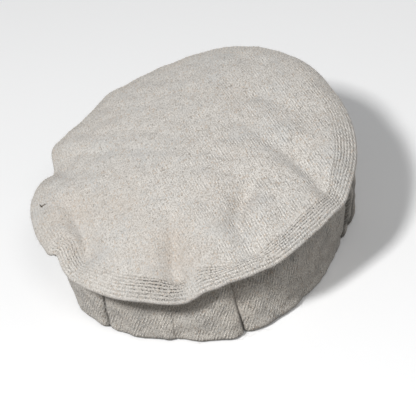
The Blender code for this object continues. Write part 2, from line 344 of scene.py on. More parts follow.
@dataclass
class CrownShape:
    """Where the crown's cloth lies: a tilted, domed disc with folds and a stitched rim.

    Its thickness grows at the rim, between the two layer distances in from the edge.
    """

    nominal_edge: float = 126.0
    slope_step: float = 0.5
    thick: float = 3.2
    rim_thick: float = 4.2
    layers_from: float = 10.0
    layers_to: float = 21.0
    mean_height: float = 71.5
    tilt_height: float = 20.5
    tilt_angle: float = 262.0
    tilt_power: float = 1.3
    dome: float = 13.0
    dome_power: float = 2.4
    shoulder: float = 3.0
    shoulder_width: float = 8.0
    wave_width: float = 28.0
    first_row: float = 3.2
    row_spacing: float = 2.05
    rows: int = 7
    groove: float = 0.85
    outer_groove: float = 0.55
    last_groove: float = 0.7
    groove_width: float = 0.42
    ridge_painted_highlight: float = 0.15
    lightest: float = 1.1

    def __post_init__(self) -> None:
        """Turns the tables into functions of the angle."""
        self.edge, self.rim_height = curves(RIM, "radius", "height")
        self.stitching, self.stitching_painted_shade = curves(STITCHING, "strength", "dark")
        self.drop, self.drop_width = curves(DROOP, "drop", "width")
        self.swell = Unevenness(seed=3, height=0.30, shortest=14.0, longest=42.0)
        self.crumple = Unevenness(seed=8, height=0.07, shortest=4.5, longest=11.0)

    def fold_lift(self, x: np.ndarray, y: np.ndarray) -> np.ndarray:
        """How far the folds raise the crown at each place."""
        total = np.zeros_like(x)
        for fold in FOLDS:
            nearest = np.full(x.shape, np.inf)
            lift = np.zeros_like(x)
            for (x0, y0, strength0), (x1, y1, strength1) in zip(fold.places, fold.places[1:]):
                run_x, run_y = x1 - x0, y1 - y0
                along = ((x - x0) * run_x + (y - y0) * run_y) / (run_x**2 + run_y**2)
                along = np.clip(along, 0.0, 1.0)
                away = np.hypot(x - x0 - along * run_x, y - y0 - along * run_y)
                leftward = (y - y0) * run_x > (x - x0) * run_y
                spread = np.where(leftward, fold.left, fold.right)
                strength = strength0 + (strength1 - strength0) * along
                lift = np.where(away < nearest, strength * np.exp(-((away / spread) ** 2)), lift)
                nearest = np.minimum(nearest, away)
            total += fold.lift * lift
        return total

    def height(self, x: np.ndarray, y: np.ndarray, soft: bool = True) -> np.ndarray:
        """Height of the crown's middle layer.

        Args:
            x: Places across the hat.
            y: Places along the hat.
            soft: Whether the cloth's unevenness is added.

        Returns:
            The height at each place, folds included.
        """
        angle = np.degrees(np.arctan2(y, x))
        radius = np.hypot(x, y)
        edge = self.edge.at(angle)
        inside = np.maximum(edge - radius, 0.0)
        share = radius / edge
        tilt = self.tilt_height * np.cos(np.radians(angle - self.tilt_angle))
        wave = self.rim_height.at(angle) - self.mean_height - tilt
        level = (
            self.mean_height
            + tilt * share**self.tilt_power
            + wave * np.exp(-inside / self.wave_width)
            + self.dome * (1 - share**self.dome_power)
            + self.shoulder * (1 - np.exp(-inside / self.shoulder_width))
            - self.drop.at(angle) * np.exp(-inside / self.drop_width.at(angle))
            + self.fold_lift(x, y)
        )
        if soft:
            level = level + self.swell.at(x, y) + self.crumple.at(x, y)
        return level

    def place(self, angle: np.ndarray, inside: np.ndarray) -> tuple[np.ndarray, np.ndarray]:
        """The middle layer's points at distances in from the edge, and their normals."""
        radius = self.edge.at(angle) - inside
        x = radius * np.cos(np.radians(angle))
        y = radius * np.sin(np.radians(angle))
        step = self.slope_step
        slope_x = (self.height(x + step, y) - self.height(x - step, y)) / (2 * step)
        slope_y = (self.height(x, y + step) - self.height(x, y - step)) / (2 * step)
        normal = unit(np.stack((-slope_x, -slope_y, np.ones_like(x)), -1))
        return np.stack((x, y, self.height(x, y)), -1), normal

    def half_thickness(self, inside: np.ndarray) -> np.ndarray:
        """Half the crown's thickness: more layers meet at the stitched rim."""
        at_rim = 1 - smooth(self.layers_from, self.layers_to, inside)
        return 0.5 * (self.thick + (self.rim_thick - self.thick) * at_rim)

    def row_places(self) -> np.ndarray:
        """How far each row of stitching lies in from the edge."""
        return self.first_row + self.row_spacing * np.arange(self.rows)

    def groove_depth(self, angle: np.ndarray, inside: np.ndarray) -> np.ndarray:
        """How far the rows of stitching draw the cloth in, the inner rows the most."""
        total = np.zeros_like(inside)
        depths = np.linspace(self.outer_groove, self.groove, self.rows)
        depths[-1] *= self.last_groove
        for row, depth in zip(self.row_places(), depths):
            total += depth * np.exp(-(((inside - row) / self.groove_width) ** 2))
        return total * self.stitching.at(angle)

    def painted_row_shade(self, angle: np.ndarray, inside: np.ndarray) -> np.ndarray:
        """The painted shade along the rows of stitching, and below 0 the painted highlight between
        them.
        """
        first, *_, last = self.row_places()
        among = smooth(first - 2.0, first, inside) * (1 - smooth(last, last + 2.5, inside))
        # A painted highlight between the rows, and painted shade over the stitched band.
        pale = self.ridge_painted_highlight * among * np.minimum(self.stitching.at(angle), self.lightest)
        dark = among * np.maximum(self.stitching_painted_shade.at(angle), 0.0)
        return self.groove_depth(angle, inside) / self.groove - pale + dark

    def top(self, angle: np.ndarray, inside: np.ndarray) -> tuple[np.ndarray, np.ndarray]:
        """The upper surface's points at distances in from the edge, and their normals."""
        place, normal = self.place(angle, inside)
        rise = self.half_thickness(inside) - self.groove_depth(angle, inside)
        return place + normal * rise[..., None], normal


@dataclass
class SideShape:
    """Where the rolled side's cloth lies, from the seam under the rim to the hidden hem."""

    crown: CrownShape
    cloth: float = 2.2
    seam_gap: float = 0.4
    slope_allowance: float = 1.2
    opening_back: float = 97.5
    opening_side: float = 86.0
    opening_power: float = 2.4
    valley_round: float = 0.3
    lap_before: float = 1.6
    lap_width: float = 0.9
    cut_width: float = 0.38
    step_width: float = 0.4
    step_reach: float = 4.0
    lean_height: float = 46.0
    recess_share: float = 1.25
    flare_height: float = 17.0
    seam_inside: float = 5.5
    bend_inside: float = 10.0
    roll_inside: float = 13.5
    shoulder: float = 3.4
    low_turn: float = 12.0
    column_step: float = 1.2
    crease_step: float = 0.6

    def __post_init__(self) -> None:
        """Turns the tables into functions of the angle."""
        self.foot, self.lean, self.slack = curves(BAND, "foot", "lean", "slack")
        self.recess, self.flare, self.wave = curves(BAND, "recess", "flare", "wave")
        self.ripple = Unevenness(seed=21, height=0.42, shortest=9.0, longest=44.0)
        self.crumple = Unevenness(seed=5, height=0.09, shortest=3.5, longest=8.0)

    def opening(self, angle: np.ndarray) -> np.ndarray:
        """The head opening's wall: an oval, longest from back to front."""
        side = np.abs(np.cos(np.radians(angle))) / self.opening_side
        back = np.abs(np.sin(np.radians(angle))) / self.opening_back
        return (side**self.opening_power + back**self.opening_power) ** (-1 / self.opening_power)

    def press(self, angle: np.ndarray, rise: np.ndarray) -> np.ndarray:
        """How far the creases press the rolled side in, at a share of its height."""
        total = np.zeros_like(angle)
        for crease in CREASES:
            away, strength = crease.near(angle, rise)
            bottom = np.hypot(away, self.valley_round) - self.valley_round
            valley = np.exp(-bottom / crease.spread)
            before = away + self.lap_before * crease.spread
            lap = np.exp(-((before / (self.lap_width * crease.spread)) ** 2))
            cut = np.exp(-((away / self.cut_width) ** 2))
            step = np.tanh(away / self.step_width) * np.exp(-np.abs(away) / self.step_reach)
            total += crease.depth * valley * strength - crease.lap * lap
            total += crease.cut * cut * (0.2 + 0.8 * strength) + 0.5 * crease.step * step
        return total

    def painted_crease_shade(self, angle: np.ndarray, rise: np.ndarray) -> np.ndarray:
        """The painted shade in the creases, at a share of the side's height."""
        total = np.zeros_like(rise)
        for crease in CREASES:
            away, strength = crease.near(angle, rise)
            width = crease.width * (0.4 + 0.8 * strength)
            total += crease.shade * strength * np.exp(-((away / width) ** 2))
        return np.minimum(total, 1.0)

    def crown_over(self, angle: np.ndarray, radius: np.ndarray) -> np.ndarray:
        """The lowest that the crown's middle layer comes near each angle, at a radius."""
        heights = []
        for offset in (-4.0, -2.0, 0.0, 2.0, 4.0):
            place = round_places(radius, angle + offset, radius)
            heights.append(self.crown.height(place[..., 0], place[..., 1], soft=False))
        return np.min(heights, axis=0)

    def path(self, angle: np.ndarray) -> list[tuple[np.ndarray, np.ndarray, int]]:
        """The middle of the side's cloth, from seam to hem.

        Args:
            angle: The columns' angles.

        Returns:
            Radius, height and the number of steps to the next point, for each point.
        """
        foot, lean, slack = self.foot.at(angle), self.lean.at(angle), self.slack.at(angle)
        recess, flare = self.recess.at(angle), self.flare.at(angle)
        inner = self.opening(angle)
        outer = foot + lean
        thick = outer - inner
        edge = self.crown.edge.at(angle)
        half = self.cloth / 2
        under = (self.crown.rim_thick / 2 + self.seam_gap + half) * self.slope_allowance
        near_top = np.minimum(edge - self.bend_inside, outer - 6.0)
        top = self.crown_over(angle, near_top) - under - half - 0.6 - slack
        over_roll = np.minimum(inner + 0.7 * thick, edge - self.roll_inside)
        middle = np.minimum(inner + 0.32 * thick, 0.5 * (inner + self.shoulder + over_roll))

        def face(height: np.ndarray) -> np.ndarray:
            """The outer turn's middle at a height."""
            drawn_in = recess * smooth(0.0, self.recess_share, height / top)
            drawn_in += flare * smooth(0.0, self.flare_height, height)
            return foot + lean * smooth(0.0, self.lean_height, height) - drawn_in - half

        def turn(share: float, height: np.ndarray) -> np.ndarray:
            """An inner turn's middle, at a share of the way from the lining to the face."""
            return inner + half + share * (face(height) - inner - half)

        def level(height: float) -> np.ndarray:
            """One height all round."""
            return np.full_like(angle, height)

        low = level(self.low_turn)
        fold = np.maximum(0.34 * (face(top) - inner - half), 2.6)
        seam_in, bend_in = edge - self.seam_inside, edge - self.bend_inside
        over = np.minimum(top + 1.9 + 0.12 * slack, self.crown_over(angle, over_roll) - under)
        # From the seam under the rim, over the roll, to the head opening.
        seam = [
            (seam_in, self.crown_over(angle, seam_in) - under, 3),
            (bend_in, self.crown_over(angle, bend_in) - under - 0.12 * slack, 3),
            (over_roll, over, 3),
            (middle, top + 1.7, 2),
            (inner + self.shoulder, top - 0.1, 3),
        ]
        # Down the head opening, to the turn at the floor.
        lining = [
            (inner + half, top - 5.0, 7),
            (inner + half, 0.45 * top, 7),
            (inner + half + 0.2, level(7.0), 3),
            (inner + 4.8, level(half), 2),
        ]
        # Out at the foot, up the face, over its top, and down and up inside the roll.
        rolled = [
            (foot - 5.6, level(half), 3),
            (foot - 1.7, level(3.0), 5),
            (face(low - 1.5), low - 1.5, 9),
            (face(0.4 * top) + 0.7, 0.4 * top, 9),
            (face(0.7 * top) + 0.5, 0.7 * top, 6),
            (face(top) - 0.3, top - 7.5, 4),
            (face(top) - 0.16 * fold, top - 3.0, 3),
            (face(top) - 0.55 * fold, top - half - 0.2, 3),
            (face(top) - fold, top - 5.5, 3),
            (turn(0.66, 0.5 * top), 0.5 * top, 3),
            (turn(0.66, low), low, 2),
            (turn(0.5, level(7.2)), level(7.2), 2),
            (turn(0.34, low), low, 3),
            (turn(0.33, 0.5 * top), 0.5 * top, 3),
            (turn(0.28, top), top - 4.5 - 100.0 / thick, 1),
        ]
        pressed = []
        for radius, height, steps in rolled:
            rise = np.clip(height / top, 0.0, 1.0)
            share = 1 - self.press(angle, rise) / thick
            pressed.append((inner + (radius - inner) * share, height, steps))
        return seam + lining + pressed

    def columns(self) -> np.ndarray:
        """The angles of the side's columns, closer together at each crease."""
        wanted = []
        for crease in CREASES:
            first, last = sorted((crease.foot_angle, crease.top_angle))
            wanted += list(np.arange(first - 4.2, last + 4.3, self.crease_step))
            if crease.cut > 0:
                middle = (first + last) / 2
                wanted += [middle + offset for offset in (-0.8, -0.4, -0.2, 0.0, 0.2, 0.4, 0.8)]
        wanted = np.unique(np.array(wanted).round(1) % 360.0)
        even = np.arange(0.0, 360.0, self.column_step)
        gaps = np.abs((even[:, None] - wanted[None, :] + 180.0) % 360.0 - 180.0).min(axis=1)
        return np.sort(np.concatenate((wanted, even[gaps > 0.7])))


def curve_through(points: np.ndarray, steps: list[int]) -> np.ndarray:
    """Points along a centripetal curve through given ones, for many columns at once.

    Args:
        points: Given points, as (point, column, radius and height).
        steps: How many steps to take from each given point to the next.

    Returns:
        The finer points, in the same layout.
    """
    first = 2 * points[0] - points[1]
    last = 2 * points[-1] - points[-2]
    padded = np.concatenate((first[None], points, last[None]))
    knots = np.sqrt(np.linalg.norm(np.diff(padded, axis=0), axis=-1)) + 1e-6
    fine = []
    for index in range(len(points) - 1):
        p0, p1, p2, p3 = padded[index : index + 4]
        d0, d1, d2 = (knots[index + k][:, None] for k in range(3))
        t1, t2, t3 = d0, d0 + d1, d0 + d1 + d2
        for step in range(steps[index]):
            t = t1 + (t2 - t1) * step / steps[index]
            a1 = (t1 - t) / t1 * p0 + t / t1 * p1
            a2 = (t2 - t) / (t2 - t1) * p1 + (t - t1) / (t2 - t1) * p2
            a3 = (t3 - t) / (t3 - t2) * p2 + (t - t2) / (t3 - t2) * p3
            b1 = (t2 - t) / t2 * a1 + t / t2 * a2
            b2 = (t3 - t) / (t3 - t1) * a2 + (t - t1) / (t3 - t1) * a3
            fine.append((t2 - t) / (t2 - t1) * b1 + (t - t1) / (t2 - t1) * b2)
    fine.append(points[-1])
    return np.array(fine)


def extrude_rings(shape: bmesh.types.BMesh, rings: np.ndarray) -> None:
    """Extrudes the edges that a bmesh holds from ring to ring.

    Args:
        shape: Holds the first ring's vertices, in order, and the edges to extrude.
        rings: Every ring's places, the first one's included, in millimetres.
    """
    column = shape.verts.layers.int.new("column")
    ring = shape.verts.layers.int.new("ring")
    for index, vert in enumerate(shape.verts):
        vert[column] = index
        vert.co = rings[0][index]
    leading = list(shape.edges)
    for number, places in enumerate(rings[1:], start=1):
        grown = bmesh.ops.extrude_edge_only(shape, edges=leading)["geom"]
        moved = {item for item in grown if isinstance(item, bmesh.types.BMVert)}
        edges = [item for item in grown if isinstance(item, bmesh.types.BMEdge)]
        leading = [edge for edge in edges if moved.issuperset(edge.verts)]
        for vert in moved:
            vert.co = places[vert[column]]
            vert[ring] = number


def close_ends(shape: bmesh.types.BMesh) -> list[bmesh.types.BMFace]:
    """Fills every open ring of edges with one face, and returns the faces."""
    open_edges = [edge for edge in shape.edges if edge.is_boundary]
    return bmesh.ops.holes_fill(shape, edges=open_edges, sides=0)["faces"]


def add_object(name: str, data: bpy.types.ID) -> bpy.types.Object:
    """Puts a new object with its data in the scene."""
    made = bpy.data.objects.new(name, data)
    bpy.context.scene.collection.objects.link(made)
    return made


def finish_piece(shape: bmesh.types.BMesh, name: str, look: bpy.types.Material) -> bpy.types.Object:
    """Makes an object of a bmesh that is in millimetres, smooth-shaded and in its place.

    Args:
        shape: The piece's bmesh, which is freed.
        name: The object's name.
        look: Its material.

    Returns:
        The new object, with its place in its mesh.
    """
    bmesh.ops.translate(shape, vec=Vector(CENTRE_SHIFT), verts=shape.verts)
    bmesh.ops.scale(shape, vec=Vector((MM, MM, MM)), verts=shape.verts)
    bmesh.ops.recalc_face_normals(shape, faces=shape.faces)
    for face in shape.faces:
        face.smooth = True
    mesh = bpy.data.meshes.new(name)
    shape.to_mesh(mesh)
    shape.free()
    mesh.materials.append(look)
    return add_object(name, mesh)


def strands(lines: np.ndarray, radii: np.ndarray, sides: int) -> bmesh.types.BMesh:
    """Thin round strands, such as stitches and hairs, all grown at once.

    Args:
        lines: The strands' middle lines, as (step, strand, place), in millimetres.
        radii: Their radius at each step.
        sides: How many sides each strand has.

    Returns:
        A bmesh of closed tubes.
    """
    along = unit(np.gradient(lines, axis=0), 1e-9)
    helper = np.where(np.abs(along[..., 2:3]) > 0.9, (1.0, 0.0, 0.0), (0.0, 0.0, 1.0))
    across = unit(np.cross(along, helper))
    over = np.cross(across, along)
    turns = 2 * math.pi * np.arange(sides) / sides
    spread = (
        across[:, :, None, :] * np.cos(turns)[None, None, :, None]
        + over[:, :, None, :] * np.sin(turns)[None, None, :, None]
    )
    rings = lines[:, :, None, :] + spread * radii[:, None, None, None]
    shape = bmesh.new()
    for _ in range(lines.shape[1]):
        bmesh.ops.create_circle(shape, cap_ends=False, segments=sides, radius=1.0)
    extrude_rings(shape, rings.reshape(len(lines), -1, 3))
    close_ends(shape)
    return shape


def blades(lines: np.ndarray, widths: np.ndarray, rng: np.random.Generator) -> bmesh.types.BMesh:
    """Flat fibres that taper to a tip, all grown at once.

    Args:
        lines: The fibres' middle lines, as (step, fibre, place), in millimetres.
        widths: Their width at each step.
        rng: Turns each fibre's flat side at random.

    Returns:
        A bmesh of narrow strips.
    """
    along = unit(lines[-1] - lines[0], 1e-9)
    across = unit(np.cross(along, rng.normal(size=along.shape)), 1e-9)
    shape = bmesh.new()
    for _ in range(lines.shape[1]):
        shape.verts.new()
    bmesh.ops.extrude_vert_indiv(shape, verts=shape.verts[:])
    left = lines - across[None] * widths[:, None, None] / 2
    right = lines + across[None] * widths[:, None, None] / 2
    extrude_rings(shape, np.concatenate((left, right), axis=1))
    return shape


def cells_of(mesh: bpy.types.Mesh) -> tuple[np.ndarray, np.ndarray]:
    """The column and the ring of each vertex of an extruded piece."""
    found = []
    for name in ("column", "ring"):
        values = np.zeros(len(mesh.vertices), np.int32)
        mesh.attributes[name].data.foreach_get("value", values)
        found.append(values)
    return found[0], found[1]


def give_painted_shade(piece: bpy.types.Object, shade: np.ndarray) -> None:
    """Stores the painted shade of an extruded piece's wool at each ring and column."""
    column, ring = cells_of(piece.data)
    value = np.zeros(len(piece.data.vertices), np.float32)
    known = ring < len(shade)
    value[known] = shade[ring[known], column[known]]
    layer = piece.data.attributes.new("shade", "FLOAT", "POINT")
    layer.data.foreach_set("value", value)


class NodeGroup:
    """A small helper that fills a shader node group or a material with linked nodes."""

    def __init__(self, tree: bpy.types.NodeTree) -> None:
        """Takes the node tree to fill."""
        self.tree = tree

    def link(self, source: bpy.types.NodeSocket, target: bpy.types.NodeSocket) -> None:
        """Links an output to an input."""
        self.tree.links.new(source, target)

    def add(self, kind: str, sources: dict | None = None, **settings: object) -> bpy.types.Node:
        """Adds a node.

        Args:
            kind: The node's type.
            sources: Its inputs, by name or number: an output to link, or a value to set.
            settings: Its properties.

        Returns:
            The node.
        """
        node = self.tree.nodes.new(kind)
        for name, value in settings.items():
            setattr(node, name, value)
        for key, source in (sources or {}).items():
            if isinstance(source, bpy.types.NodeSocket):
                self.link(source, node.inputs[key])
            else:
                node.inputs[key].default_value = source
        return node

    def number(self, operation: str, first: object, second: object = 0.0) -> bpy.types.NodeSocket:
        """The result of one sum on two numbers, each an output or a value."""
        node = self.add("ShaderNodeMath", {0: first, 1: second}, operation=operation)
        return node.outputs[0]

    def plus(self, first: object, second: object) -> bpy.types.NodeSocket:
        """Two numbers added."""
        return self.number("ADD", first, second)

    def times(self, first: object, second: object) -> bpy.types.NodeSocket:
        """Two numbers multiplied."""
        return self.number("MULTIPLY", first, second)

    def ramp(
        self, value: object, low: float, high: float, start: float = 0.0, end: float = 1.0
    ) -> bpy.types.NodeSocket:
        """A value moved smoothly from one range to another."""
        sources = {"Value": value, "From Min": low, "From Max": high, "To Min": start, "To Max": end}
        node = self.add("ShaderNodeMapRange", sources, interpolation_type="SMOOTHSTEP")
        return node.outputs["Result"]

    def noise(
        self, place: object, scale: float, detail: float, rough: float = 0.5
    ) -> bpy.types.NodeSocket:
        """A noise value at a place, about 0.5 on average."""
        sources = {"Vector": place, "Scale": scale, "Detail": detail, "Roughness": rough}
        return self.add("ShaderNodeTexNoise", sources).outputs[0]

    def blend(self, factor: object, first: object, second: object) -> bpy.types.NodeSocket:
        """Two colours mixed by a factor."""
        sources = {"Factor": factor, 6: first, 7: second}
        return self.add("ShaderNodeMix", sources, data_type="RGBA").outputs[2]


def start_look(name: str, values: dict) -> tuple:
    """Starts a material.

    Args:
        name: The material's name.
        values: What its shader's own sockets are set to, by name.

    Returns:
        The material, a helper that adds nodes to it, and its shader.
    """
    look = bpy.data.materials.new(name)
    look.use_nodes = True
    shader = look.node_tree.nodes["Principled BSDF"]
    for socket, value in values.items():
        shader.inputs[socket].default_value = value
    return look, NodeGroup(look.node_tree), shader


def group_sockets(tree: bpy.types.NodeTree, inputs: dict, outputs: dict) -> tuple:
    """Gives a node group its named inputs and outputs.

    Args:
        tree: The group.
        inputs: Socket type and default value by name.
        outputs: Socket type by name.

    Returns:
        The sockets inside the group: what it is given, and what it puts out.
    """
    for name, (kind, value) in inputs.items():
        socket = tree.interface.new_socket(name, in_out="INPUT", socket_type=kind)
        if value is not None:
            socket.default_value = value
    for name, kind in outputs.items():
        tree.interface.new_socket(name, in_out="OUTPUT", socket_type=kind)
    given, result = tree.nodes.new("NodeGroupInput"), tree.nodes.new("NodeGroupOutput")
    return given.outputs, result.inputs


def heather_group() -> bpy.types.NodeTree:
    """Heathered wool: mottled pale and deep fibres, tan and grey flecks, and warm blotches."""
    tree = bpy.data.node_groups.new("heather", "ShaderNodeTree")
    colour, number = "NodeSocketColor", "NodeSocketFloat"
    given, result = group_sockets(
        tree,
        {
            "Place": ("NodeSocketVector", None),
            "Pale": (colour, (1, 1, 1, 1)),
            "Deep": (colour, (0, 0, 0, 1)),
            "Tan": (colour, (0.5, 0.4, 0.3, 1)),
            "Cool": (colour, (0.5, 0.5, 0.5, 1)),
            "Dark": (colour, (0.2, 0.16, 0.13, 1)),
            "Blotch": (number, 0.3),
            "Warmth": (number, 1.0),
            "Tint": (number, 0.0),
            "Contrast": (number, 1.0),
        },
        {"Color": colour},
    )
    make = NodeGroup(tree)
    place = given["Place"]
    turned = {"Vector": place, "Rotation": (0, 0, math.radians(-38)), "Scale": (1.0, 0.58, 1.0)}
    stretched = make.add("ShaderNodeMapping", turned).outputs[0]
    fine = make.times(make.noise(stretched, 1350.0, 2.0, 0.6), 0.64)
    speck = make.times(make.noise(place, 950.0, 2.0, 0.55), 0.29)
    mottle = make.times(make.noise(place, 150.0, 3.0, 0.55), 0.11)
    mix = make.plus(make.plus(fine, speck), make.plus(mottle, -0.5))
    mix = make.plus(make.times(mix, given["Contrast"]), 0.5)
    ground = make.blend(make.ramp(mix, 0.2, 0.8), given["Deep"], given["Pale"])
    warm = make.ramp(make.noise(place, 21.0, 3.0, 0.55), 0.44, 0.80)
    warm = make.times(make.times(warm, given["Blotch"]), given["Warmth"])
    ground = make.blend(warm, ground, given["Tan"])
    grey = make.ramp(make.noise(place, 31.0, 3.0, 0.55), 0.48, 0.70)
    ground = make.blend(make.times(grey, given["Blotch"]), ground, given["Cool"])
    tint = make.ramp(make.noise(place, 70.0, 3.0, 0.55), 0.3, 0.7, 0.6, 1.4)
    ground = make.blend(make.times(tint, given["Tint"]), ground, given["Tan"])
    for name, scale, share, strength in (
        ("Tan", 900.0, 0.89, 0.8),
        ("Cool", 840.0, 0.89, 0.6),
        ("Dark", 950.0, 0.96, 0.58),
        ("Pale", 880.0, 0.90, 0.7),
    ):
        cells = make.add("ShaderNodeTexVoronoi", {"Vector": stretched, "Scale": scale}).outputs
        picked = make.add("ShaderNodeSeparateColor", {"Color": cells["Color"]}).outputs["Red"]
        chosen = make.number("GREATER_THAN", picked, share)
        near = make.ramp(cells["Distance"], 0.3, 0.7, strength, 0.0)
        ground = make.blend(make.times(chosen, near), ground, given[name])
    make.link(ground, result["Color"])
    return tree


def twill_group() -> bpy.types.NodeTree:
    """The cloth's fine diagonal ribs, broken into yarns and blurred where it is felted."""
    tree = bpy.data.node_groups.new("twill", "ShaderNodeTree")
    number = "NodeSocketFloat"
    given, result = group_sockets(
        tree,
        {
            "Place": ("NodeSocketVector", None),
            "Turn": (number, 0.0),
            "Ribs": (number, 160.0),
            "Felt": (number, 0.3),
        },
        {"Height": number, "Rib": number},
    )
    make = NodeGroup(tree)
    place = given["Place"]
    turned = make.add(
        "ShaderNodeVectorRotate",
        {"Vector": place, "Angle": given["Turn"]},
        rotation_type="Z_AXIS",
    ).outputs[0]
    waves = {
        "Vector": turned,
        "Scale": given["Ribs"],
        "Distortion": 2.4,
        "Detail": 2.0,
        "Detail Scale": 3.0,
        "Detail Roughness": 0.6,
    }
    wave = make.ramp(make.add("ShaderNodeTexWave", waves).outputs["Fac"], 0.25, 0.95)
    drawn = make.add("ShaderNodeMapping", {"Vector": turned, "Scale": (1.0, 0.3, 1.0)}).outputs[0]
    broken = make.ramp(make.noise(drawn, 560.0, 2.0, 0.6), 0.4, 0.62)
    patch = make.ramp(make.noise(place, 75.0, 3.0, 0.6), 0.36, 0.62, 0.15, 1.2)
    rib = make.times(make.plus(wave, -0.42), make.times(broken, patch))
    rib = make.times(rib, make.number("SUBTRACT", 1.0, given["Felt"]))
    fuzz = make.times(make.noise(place, 1500.0, 3.0, 0.7), 0.65)
    lumps = make.times(make.noise(place, 620.0, 3.0, 0.6), 0.4)
    pile = make.times(make.plus(fuzz, lumps), 0.9)
    make.link(make.plus(rib, pile), result["Height"])
    make.link(rib, result["Rib"])
    return tree


class Ground(Enum):
    """What a finish's pattern follows: the object's own space, or the cloth's UV map."""

    OBJECT = "Object"
    CLOTH = "UV"


@dataclass(frozen=True)
class WarmSpot:
    """A soft warm tint of handled wool round one place, in millimetres."""

    place: tuple
    reach: float
    strength: float


@dataclass(frozen=True)
class WoolFinish:
    """One look of the wool.

    The pale and deep fibres are mottled by the contrast, with flecks in the other three
    colours. The ribs turn and repeat in degrees and millimetres, and fade where the wool is
    felted, more at the wearer's left or right; the rib shade paints shade into their grooves and
    a highlight onto their tops. The seam shade is painted shade that darkens creases and rows of
    stitching, and the dashes say how much of that is left in its gaps.
    """

    name: str
    ground: Ground
    pale: tuple
    deep: tuple
    tan: tuple
    cool: tuple
    dark: tuple
    turn: float
    rib_spacing: float
    painted_rib_shading: float
    felt_left: float
    felt_right: float
    relief: float
    contrast: float
    painted_seam_shade: float
    dashes: float
    blotch: float = 0.3
    spots: tuple = ()

    def tint(self, make: NodeGroup, place: bpy.types.NodeSocket) -> bpy.types.NodeSocket | float:
        """How strongly the warm spots tint each place."""
        total = 0.0
        for spot in self.spots:
            centre = tuple(MM * side for side in spot.place)
            away = make.add("ShaderNodeVectorMath", {0: place, 1: centre}, operation="DISTANCE")
            share = make.ramp(away.outputs["Value"], 0.0, spot.reach * MM, spot.strength, 0.0)
            total = make.plus(total, share)
        return total

    def material(self, heather: bpy.types.NodeTree, twill: bpy.types.NodeTree) -> bpy.types.Material:
        """Builds the wool's material.

        Args:
            heather: The group for the fibres' colours.
            twill: The group for the ribs.

        Returns:
            The material.
        """
        values = {
            "Roughness": 0.95,
            "Specular IOR Level": 0.2,
            "Sheen Weight": 0.25,
            "Sheen Roughness": 0.6,
        }
        look, make, shader = start_look(self.name, values)
        coordinates = make.add("ShaderNodeTexCoord").outputs
        place, local = coordinates[self.ground.value], coordinates["Object"]
        across = make.add("ShaderNodeSeparateXYZ", {"Vector": local}).outputs
        worn = make.plus(across["X"], make.times(make.number("ABSOLUTE", across["Y"]), 0.35))
        felt = make.ramp(worn, -0.075, 0.055, self.felt_right, self.felt_left)
        cloth = {
            "Place": place,
            "Turn": math.radians(self.turn),
            "Ribs": WAVE_BAND / (self.rib_spacing * MM),
            "Felt": felt,
        }
        ribs = make.add("ShaderNodeGroup", cloth, node_tree=twill).outputs
        shades = {
            "Pale": self.pale,
            "Deep": self.deep,
            "Tan": self.tan,
            "Cool": self.cool,
            "Dark": self.dark,
        }
        fibres = {name: (*shade, 1.0) for name, shade in shades.items()}
        fibres |= {
            "Place": place,
            "Blotch": self.blotch,
            "Contrast": make.times(make.plus(make.times(felt, -0.62), 1.15), self.contrast),
            "Warmth": make.ramp(across["Y"], -0.06, 0.09, 0.4, 0.9),
            "Tint": self.tint(make, local),
        }
        wool = make.add("ShaderNodeGroup", fibres, node_tree=heather).outputs["Color"]
        # The shade attribute is painted shade in creases and along the rows of stitching, and below
        # 0 a painted highlight between the rows.
        seam = make.add("ShaderNodeAttribute", attribute_name="shade").outputs["Fac"]
        dashes = make.ramp(make.noise(local, 900.0, 2.0), 0.42, 0.56, self.dashes, 1.0)
        dark = make.times(make.times(seam, dashes), self.painted_seam_shade)
        # The ribs' colour is darker in their grooves and paler on their tops: painted shade and
        # highlight.
        shade = make.ramp(ribs["Rib"], -0.5, 0.5, 1.0 - self.painted_rib_shading, 1.0 + self.painted_rib_shading)
        shade = make.times(shade, make.number("SUBTRACT", 1.0, dark))
        triple = make.add("ShaderNodeCombineXYZ", {0: shade, 1: shade, 2: shade}).outputs[0]
        shaded = make.add("ShaderNodeVectorMath", {0: wool, 1: triple}, operation="MULTIPLY")
        make.link(shaded.outputs[0], shader.inputs["Base Color"])
        relief = {"Strength": 1.0, "Distance": self.relief * MM, "Height": ribs["Height"]}
        make.link(make.add("ShaderNodeBump", relief).outputs[0], shader.inputs["Normal"])
        return look


CROWN_WOOL = WoolFinish(
    name="crown_wool_cloth",
    ground=Ground.OBJECT,
    pale=(0.745, 0.712, 0.665),
    deep=(0.45, 0.417, 0.376),
    tan=(0.56, 0.46, 0.37),
    cool=(0.55, 0.56, 0.555),
    dark=(0.22, 0.185, 0.15),
    turn=-41.0,
    rib_spacing=1.95,
    painted_rib_shading=0.28,
    felt_left=0.85,
    felt_right=0.1,
    relief=0.36,
    contrast=4.7,
    painted_seam_shade=0.98,
    dashes=0.04,
    spots=(
        WarmSpot((78, 64, 68), 40, 0.23),
        WarmSpot((62, 92, 62), 24, 0.13),
        WarmSpot((2, 84, 70), 36, 0.15),
        WarmSpot((-26, 98, 64), 34, 0.16),
        # This spot warms the wool and also darkens the stitched rim at the front, as painted shade.
        WarmSpot((-8, 112, 56), 24, 0.18),
        WarmSpot((-40, 52, 76), 34, 0.10),
    ),
)

# The side's pale is lighter than the crown's: painted light that brightens the band.
SIDE_WOOL = WoolFinish(
    name="side_wool_cloth",
    ground=Ground.CLOTH,
    pale=(0.82, 0.773, 0.703),
    deep=(0.445, 0.405, 0.353),
    tan=(0.50, 0.41, 0.33),
    cool=(0.48, 0.48, 0.47),
    dark=(0.17, 0.14, 0.11),
    turn=28.0,
    rib_spacing=2.25,
    painted_rib_shading=0.36,
    felt_left=0.3,
    felt_right=0.15,
    relief=0.85,
    contrast=8.0,
    painted_seam_shade=0.78,
    dashes=0.9,
)


